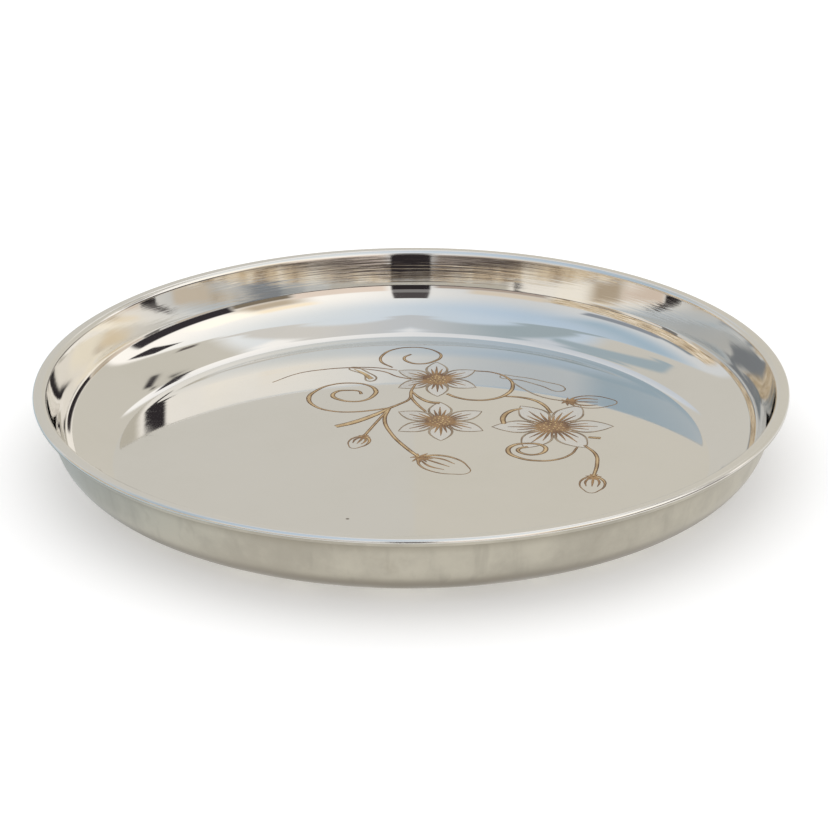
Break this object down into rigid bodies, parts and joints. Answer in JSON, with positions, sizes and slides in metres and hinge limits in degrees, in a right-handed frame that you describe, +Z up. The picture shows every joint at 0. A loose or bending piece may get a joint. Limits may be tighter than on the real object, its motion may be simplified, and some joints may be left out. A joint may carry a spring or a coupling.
{
  "type": "thali plate",
  "caption": "Round steel eating plate with a flat floor, a sloping flare, an upright collar and a hollow rolled rim.",
  "frame": {"origin": "centre of the flat underside, on the surface the plate stands on", "axes": "+Z up along the plate's axis of revolution; X and Y lie in the underside"},
  "size_m": [0.3, 0.3, 0.033],
  "materials": {
    "polished_steel": "mirror-polished inside and on the rim, satin outside and underneath"
  },
  "bodies": {
    "root": {"plate": "polished_steel"}
  },
  "joints": []
}
